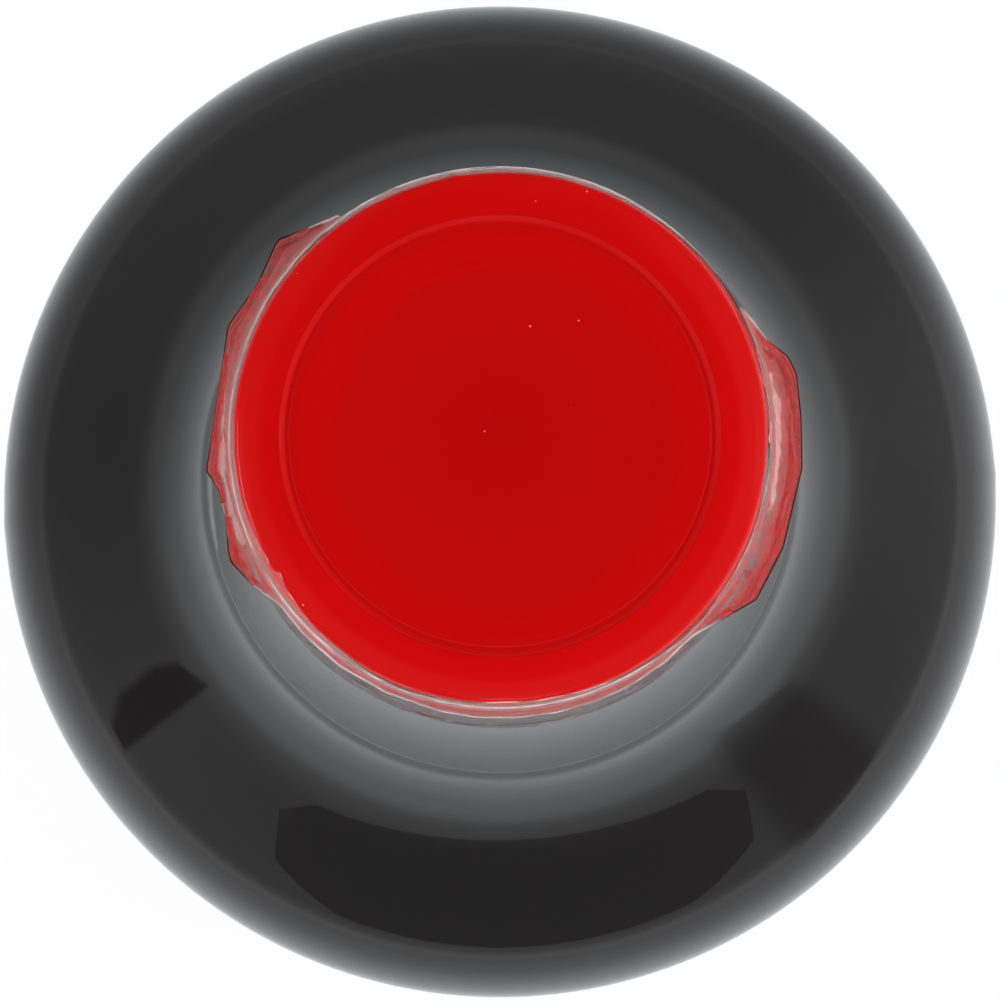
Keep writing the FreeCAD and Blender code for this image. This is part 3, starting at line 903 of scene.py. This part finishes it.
class BOTTLE_OT_band(bpy.types.Operator):
    """Add the clear shrink band with its two loose sides"""

    bl_idname = "bottle.band"
    bl_label = "Shrink Band"
    slack = 0.3 * MM  # film that stands off by more than this counts as loose

    def execute(self, context):
        s = context.scene.band_settings
        film = Film(s, Cap(context.scene.cap_settings), Glass(context.scene.bottle_settings))
        tight = [film.row(i, s.lip) for i in range(film.rows)]
        piece = spun("clear_band", tight, s.segments)
        for v in piece.data.vertices:
            radius = math.hypot(v.co.x, v.co.y)
            index = min(
                range(film.rows), key=lambda i: abs(tight[i][0] - radius) + abs(tight[i][1] - v.co.z)
            )
            direction = column(v.co, s.segments) * 360 / s.segments
            v.co = film.place(index, direction - 360 if direction > 270 else direction)
        self.prick(piece, film)
        thicken(piece, s.thickness)
        round_off(piece, 62)
        finish_piece(piece, film_material(s, *SMOOTH_FILM), "clear_film", "shrink_band")
        piece.data.materials.append(film_material(s, *DRAWN_FILM))
        for face in piece.data.polygons:
            direction = math.degrees(math.atan2(face.center.y, face.center.x))
            loose = film.facet(direction if direction > -90 else direction + 360) > film.tight + self.slack
            drawn = s.crease if loose else 4 * s.crease
            if face.center.z > film.cap.skirt_top - s.head - drawn:
                face.material_index = 1
        return {"FINISHED"}

    @staticmethod
    def prick(piece, film):
        """Cuts the pinholes: the face at each is divided, and the smaller face there is taken out."""
        step = film.cap.skirt_top - film.s.head - film.s.crease - film.s.step / 2
        places = []
        for direction, radius in PINHOLES:
            turn = math.radians(direction)
            places.append(Vector((radius * MM * math.cos(turn), radius * MM * math.sin(turn), step)))
        edit(piece, "FACE")
        for divide in (True, False):
            bpy.ops.mesh.select_all(action="DESELECT")
            mesh = bmesh.from_edit_mesh(piece.data)
            for place in places:
                min(mesh.faces, key=lambda f: (f.calc_center_median() - place).length).select = True
            mesh.select_flush_mode()
            bmesh.update_edit_mesh(piece.data)
            if divide:
                bpy.ops.mesh.subdivide(number_cuts=1)
        bpy.ops.mesh.delete(type="FACE")
        bpy.ops.object.mode_set(mode="OBJECT")


# ---------------------------------------------------------------- stage
WHITE = (1, 1, 1, 1)
COOL = (0.945, 0.965, 1, 1)
LAMP_ELEVATION = math.radians(24)
LAMP_DISTANCE = 1.0
LAMP_SIZE = 0.5
BACK = math.radians(108)  # middle of the dimmer side, behind the bottle and a little to its left
BACK_LOSS = 0.45
FRONT_LOSS = 0.45
AHEAD = (-UPRIGHT - 0.72, -UPRIGHT + 0.73)  # first and last direction of the dark front
FLOOR_WHITE = 1.06
POOL_GAIN = 1.15
SHADOW_COVER = 0.85  # share of the shadow that the white floor hides


def lamp(name, direction, watts):
    """A soft lamp that looks at the cap from a direction round the bottle, in degrees."""
    turn = math.radians(direction)
    away = Vector((
        math.cos(turn) * math.cos(LAMP_ELEVATION),
        math.sin(turn) * math.cos(LAMP_ELEVATION),
        math.sin(LAMP_ELEVATION),
    ))
    light = bpy.data.lights.new(name, "AREA")
    light.shape = "DISK"
    light.size = LAMP_SIZE
    light.energy = watts
    made = bpy.data.objects.new(name, light)
    made.location = Vector((0, 0, CAP_FOOT)) + away * LAMP_DISTANCE
    made.rotation_euler = (-away).to_track_quat("-Z", "Y").to_euler()
    made.visible_glossy = False
    made.visible_camera = False
    bpy.context.scene.collection.objects.link(made)


def tent(tree):
    """What shines sees: a pale horizon, three dim panels, a dark front and a dark ceiling."""
    x, y, z = placed(tree, "Generated")[1]
    up = maths(tree, "MULTIPLY_ADD", z, 0.5, 0.5)
    stops = (
        (0, 0.6), (0.36, 0.6), (0.41, 0.52), (0.5, 0.46), (0.63, 0.34), (0.735, 0.2), (0.8, 0.05), (0.9, 0),
    )
    horizon = levels(tree, up, stops)
    high = window(tree, z, 0.5, 0.78, 0.04)
    right = maths(tree, "MULTIPLY", smooth(tree, x, 0.36, 0.5), 0.24)
    left = maths(tree, "MULTIPLY", smooth(tree, x, -0.36, -0.5), 0.22)
    front = maths(tree, "MULTIPLY", smooth(tree, y, -0.36, -0.5), 0.22)
    sides = maths(tree, "ADD", right, left)
    panels = maths(tree, "MULTIPLY", high, maths(tree, "MAXIMUM", sides, front))
    lit = maths(tree, "ADD", horizon, panels)
    turn = maths(tree, "ARCTAN2", y, x)
    ahead = window(tree, turn, *AHEAD, 0.1)
    low = smooth(tree, z, 0.3, 0.05)
    lit = dimmed(tree, lit, maths(tree, "MULTIPLY", ahead, low), FRONT_LOSS)
    return dimmed(tree, lit, back_share(tree, x, y), BACK_LOSS)


def studio_world(s):
    """Even light for surfaces, white behind the object, and a tent for what shines."""
    world = bpy.data.worlds.new("studio")
    bpy.context.scene.world = world
    world.use_nodes = True
    # rays find the world by themselves, so each kind of ray meets its own level
    world.cycles.sampling_method = "NONE"
    tree = world.node_tree
    tree.nodes.clear()
    glossy = node(tree, "ShaderNodeBackground", in_0=COOL, in_1=tent(tree))
    even = node(tree, "ShaderNodeBackground", in_0=WHITE, in_1=s.fill)
    white = node(tree, "ShaderNodeBackground", in_0=WHITE)
    unseen = mixed(tree, seen_in_a_shine(tree), even, glossy)
    out = node(tree, "ShaderNodeOutputWorld")
    tree.links.new(mixed(tree, seen_plainly(tree), unseen, white).outputs[0], out.inputs["Surface"])


def unlit(tree, path):
    """1 until a ray has met a dull surface."""
    return maths(tree, "LESS_THAN", path.outputs["Diffuse Depth"], 0.5)


def seen_in_a_shine(tree):
    """1 for what is reflected to the camera, also when it comes through glass on the way."""
    path = node(tree, "ShaderNodeLightPath")
    shiny = maths(tree, "GREATER_THAN", path.outputs["Glossy Depth"], 0.5)
    return maths(tree, "MULTIPLY", shiny, unlit(tree, path))


def seen_plainly(tree):
    """1 for what the camera sees itself or straight through glass."""
    path = node(tree, "ShaderNodeLightPath")
    dull = maths(tree, "LESS_THAN", path.outputs["Glossy Depth"], 0.5)
    straight = maths(tree, "MULTIPLY", dull, unlit(tree, path))
    through = maths(tree, "MULTIPLY", path.outputs["Is Transmission Ray"], straight)
    return maths(tree, "MAXIMUM", path.outputs["Is Camera Ray"], through)


def back_share(tree, x, y):
    """1 for directions behind the bottle and a little to its left, 0 at its front."""
    turn = maths(tree, "ARCTAN2", y, x)
    facing = maths(tree, "COSINE", maths(tree, "SUBTRACT", turn, BACK))
    return smooth(tree, facing, -0.25, 0.6)


def dimmed(tree, light, share_socket, loss):
    """Light lessened by a loss where a share is 1."""
    return maths(tree, "MULTIPLY", light, maths(tree, "MULTIPLY_ADD", share_socket, -loss, 1.0))


# Dark gaps beyond the pool's front: first and last direction in degrees, their softness, front edge in metres
# and share of the light that they take.
GAPS = ((-159.5, -151, 0.7, 0.3, 0.6), (-51, -34, 3.0, 0.33, 0.42))


def floor_material():
    """White to the camera but for the object's shadow, and a soft pool of light to what shines."""
    material, tree = new_material("pale floor")
    lit = principled(tree, base_color=(0.86, 0.86, 0.86, 1), roughness=0.9, specular_ior_level=0.0)
    place, (x, y, _) = placed(tree)
    away = node(tree, "ShaderNodeVectorMath", operation="LENGTH", in_0=place)
    stops = (
        (0, 0.76), (0.1, 0.8), (0.16, 0.84), (0.25, 0.74), (0.38, 0.72),
        (0.47, 0.84), (0.58, 0.6), (0.75, 0.5), (1, 0.45),
    )
    far = smooth(tree, away.outputs["Value"], 0, 0.25)
    back = maths(tree, "MULTIPLY", back_share(tree, x, y), far)
    pool = dimmed(tree, levels(tree, away.outputs["Value"], stops), back, BACK_LOSS)
    turn = maths(tree, "ARCTAN2", y, x)
    for first, last, soft, edge, loss in GAPS:
        gap = window(tree, turn, math.radians(first), math.radians(last), math.radians(soft))
        gap = maths(tree, "MULTIPLY", gap, smooth(tree, y, -edge + 0.01, -edge - 0.02))
        pool = dimmed(tree, pool, gap, loss)
    seen = seen_plainly(tree)
    shine = seen_in_a_shine(tree)
    strength = maths(tree, "MULTIPLY", maths(tree, "MULTIPLY", pool, POOL_GAIN), shine)
    strength = maths(tree, "MAXIMUM", strength, maths(tree, "MULTIPLY", seen, FLOOR_WHITE))
    tint = node(tree, "ShaderNodeMix", data_type="RGBA", in_0=shine, in_6=WHITE, in_7=COOL)
    white = node(tree, "ShaderNodeEmission", in_0=tint.outputs[2], in_1=strength)
    cover = maths(tree, "MAXIMUM", maths(tree, "MULTIPLY", seen, SHADOW_COVER), shine)
    output(tree, mixed(tree, cover, lit, white))
    return material


class BOTTLE_OT_stage(bpy.types.Operator):
    """Add the pale floor, the soft light and the camera above the cap"""

    bl_idname = "bottle.stage"
    bl_label = "Stage"

    def execute(self, context):
        s = context.scene.studio_settings
        deselect()
        bpy.ops.mesh.primitive_plane_add(size=2 * s.floor_side)
        floor = context.object
        floor.name = "floor"
        for v in floor.data.vertices:
            v.co.y = max(v.co.y, -s.floor_front)
        floor.data.materials.append(floor_material())
        studio_world(s)
        lamp("lamp_left", 180, s.left_lamp)
        lamp("lamp_right", 0, s.right_lamp)
        lamp("lamp_front", -90, s.front_lamp)
        self.add_camera(context, s)
        context.scene.view_settings.view_transform = "Standard"
        return {"FINISHED"}

    @staticmethod
    def add_camera(context, s):
        target = Vector((0, 0, s.aim))
        data = bpy.data.cameras.new("camera")
        camera = bpy.data.objects.new("camera", data)
        camera.location = target + Vector((-s.camera_left, -s.camera_front, s.camera_height))
        view = target - camera.location
        camera.rotation_euler = view.to_track_quat("-Z", "Y").to_euler()
        data.sensor_width = 36
        data.lens = data.sensor_width * view.length / s.frame_width
        data.clip_start = 0.01
        context.scene.collection.objects.link(camera)
        context.scene.camera = camera


# ---------------------------------------------------------------- panel and run
class BOTTLE_PT_panel(bpy.types.Panel):
    """Lists the bottle's pieces"""

    bl_idname = "BOTTLE_PT_panel"
    bl_label = "Bottle"
    bl_space_type = "VIEW_3D"
    bl_region_type = "UI"
    bl_category = "Bottle"

    def draw(self, context):
        for operator in PIECES:
            self.layout.operator(operator.bl_idname)


SETTINGS = {
    "bottle_settings": BottleSettings,
    "cap_settings": CapSettings,
    "band_settings": BandSettings,
    "studio_settings": StudioSettings,
}
PIECES = (BOTTLE_OT_stage, BOTTLE_OT_glass, BOTTLE_OT_sauce, BOTTLE_OT_cap, BOTTLE_OT_band)


def register():
    for name, group in SETTINGS.items():
        bpy.utils.register_class(group)
        setattr(bpy.types.Scene, name, bpy.props.PointerProperty(type=group))
    for cls in (*PIECES, BOTTLE_PT_panel):
        bpy.utils.register_class(cls)


def unregister():
    for cls in (BOTTLE_PT_panel, *reversed(PIECES)):
        bpy.utils.unregister_class(cls)
    for name, group in reversed(SETTINGS.items()):
        delattr(bpy.types.Scene, name)
        bpy.utils.unregister_class(group)


def main():
    register()
    bpy.ops.bottle.stage()
    bpy.ops.bottle.glass()
    bpy.ops.bottle.sauce()
    bpy.ops.bottle.cap()
    bpy.ops.bottle.band()


if __name__ == "__main__":
    main()
